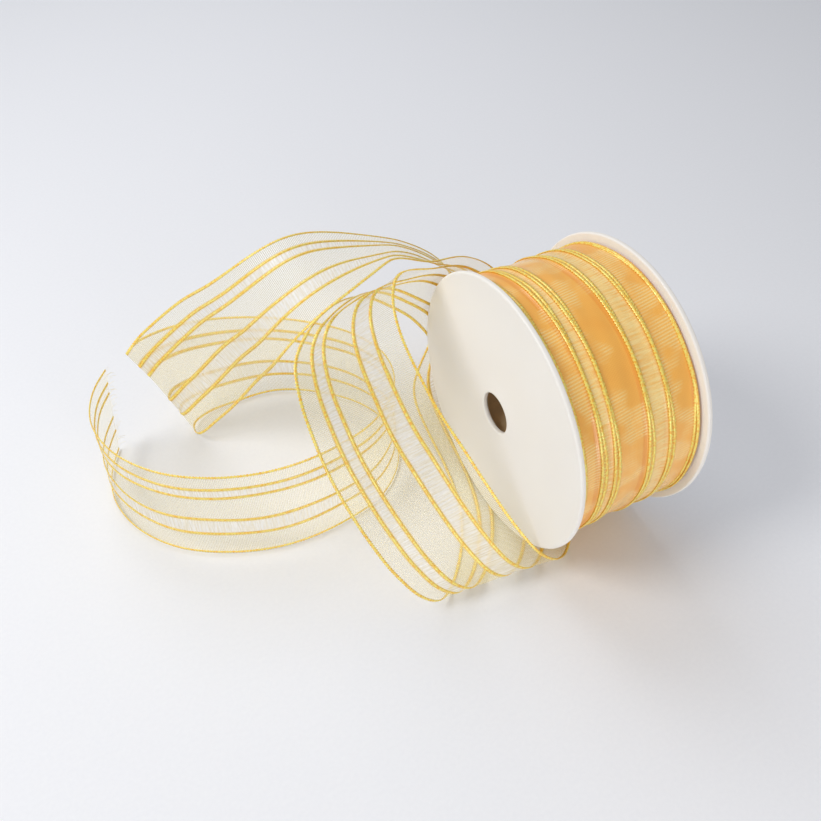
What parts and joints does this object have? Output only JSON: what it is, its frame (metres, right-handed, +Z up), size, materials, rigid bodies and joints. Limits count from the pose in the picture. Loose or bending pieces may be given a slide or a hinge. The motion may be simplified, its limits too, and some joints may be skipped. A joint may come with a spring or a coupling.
{
  "type": "ribbon spool",
  "caption": "Card ribbon spool with white round flanges, wound with golden striped organza ribbon whose long free end loops off to one side and stands on its edge.",
  "frame": {"origin": "on the surface it stands on, below the middle of the whole object's bounding box", "axes": "+Z up; X along the spool's axis, with the loose ribbon towards -X; -Y is the front"},
  "size_m": [0.1498, 0.1304, 0.0853],
  "materials": {
    "white_card": "satin",
    "kraft_card": "matte",
    "clear_tape": "gloss",
    "gold_organza": "satin",
    "pale_organza": "satin"
  },
  "bodies": {
    "loose_ribbon": {"ribbon_take_off": "pale_organza", "ribbon_front_loop": "pale_organza", "ribbon_under_run": "pale_organza", "ribbon_back_rise": "pale_organza", "ribbon_upper_sweep": "pale_organza", "ribbon_left_bend": "pale_organza", "ribbon_ring_back": "pale_organza", "ribbon_ring_front": "pale_organza", "ribbon_cut_end": "pale_organza"},
    "spool": {"left_flange": "white_card", "right_flange": "white_card", "core_tube": "kraft_card", "start_tape": "clear_tape", "wound_ribbon": "gold_organza"}
  },
  "joints": [
    {"name": "spool_turn", "type": "hinge", "parent": "loose_ribbon", "child": "spool", "pos_m": [0.05388, -0.02316, 0.04326], "axis": [1, 0, 0], "continuous": true}
  ]
}
